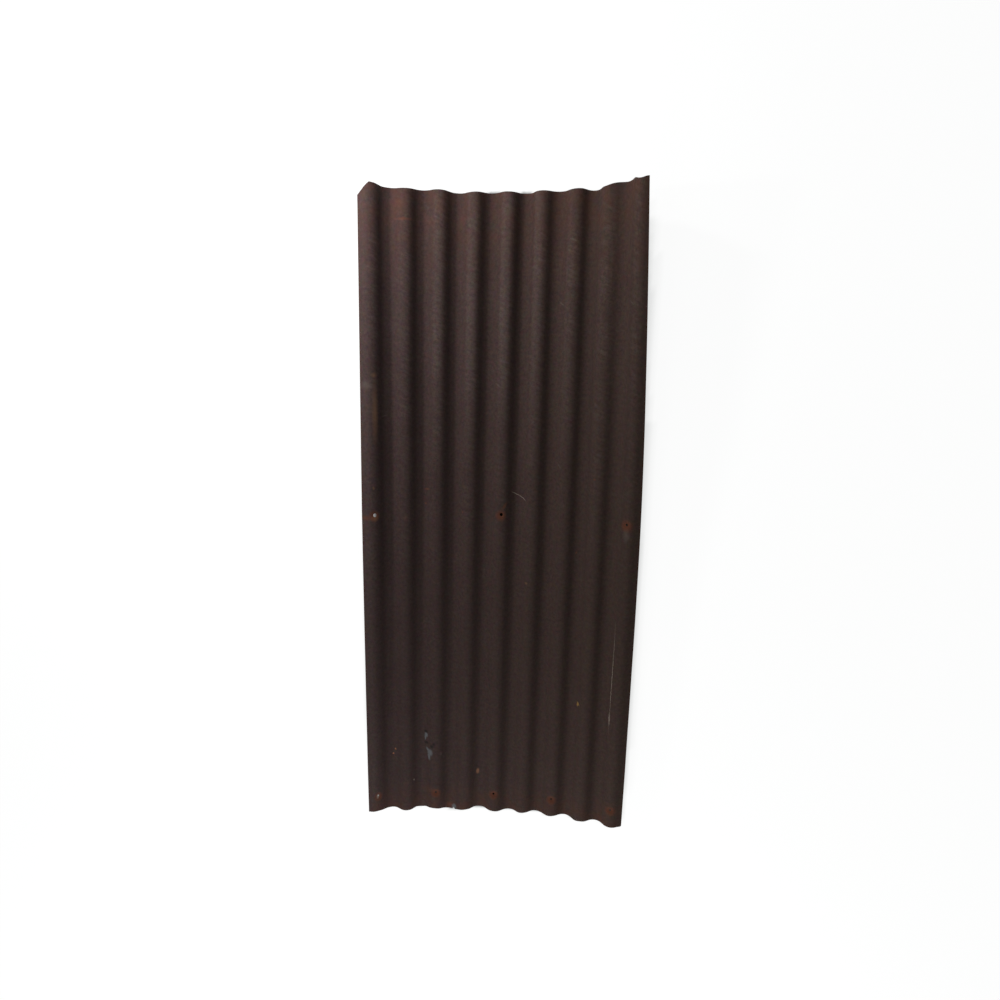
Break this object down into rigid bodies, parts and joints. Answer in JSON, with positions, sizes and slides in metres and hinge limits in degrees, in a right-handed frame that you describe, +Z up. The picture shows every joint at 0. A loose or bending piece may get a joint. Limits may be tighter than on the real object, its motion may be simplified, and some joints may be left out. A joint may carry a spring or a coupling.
{
  "type": "corrugated metal sheet",
  "caption": "Brown painted corrugated steel roofing sheet, curled up along both long edges, with nail holes through its crowns for fastening to battens.",
  "frame": {"origin": "on the floor, under the middle of the sheet as it lies", "axes": "+X across the waves, +Y along the waves towards the head end, +Z up from the nailed face"},
  "size_m": [0.6614, 1.524, 0.1401],
  "materials": {
    "brown_paint": "dark brown paint on galvanised steel, satin, weathered, with rust at the nail holes"
  },
  "bodies": {
    "root": {"corrugated_sheet": "brown_paint"}
  },
  "joints": []
}
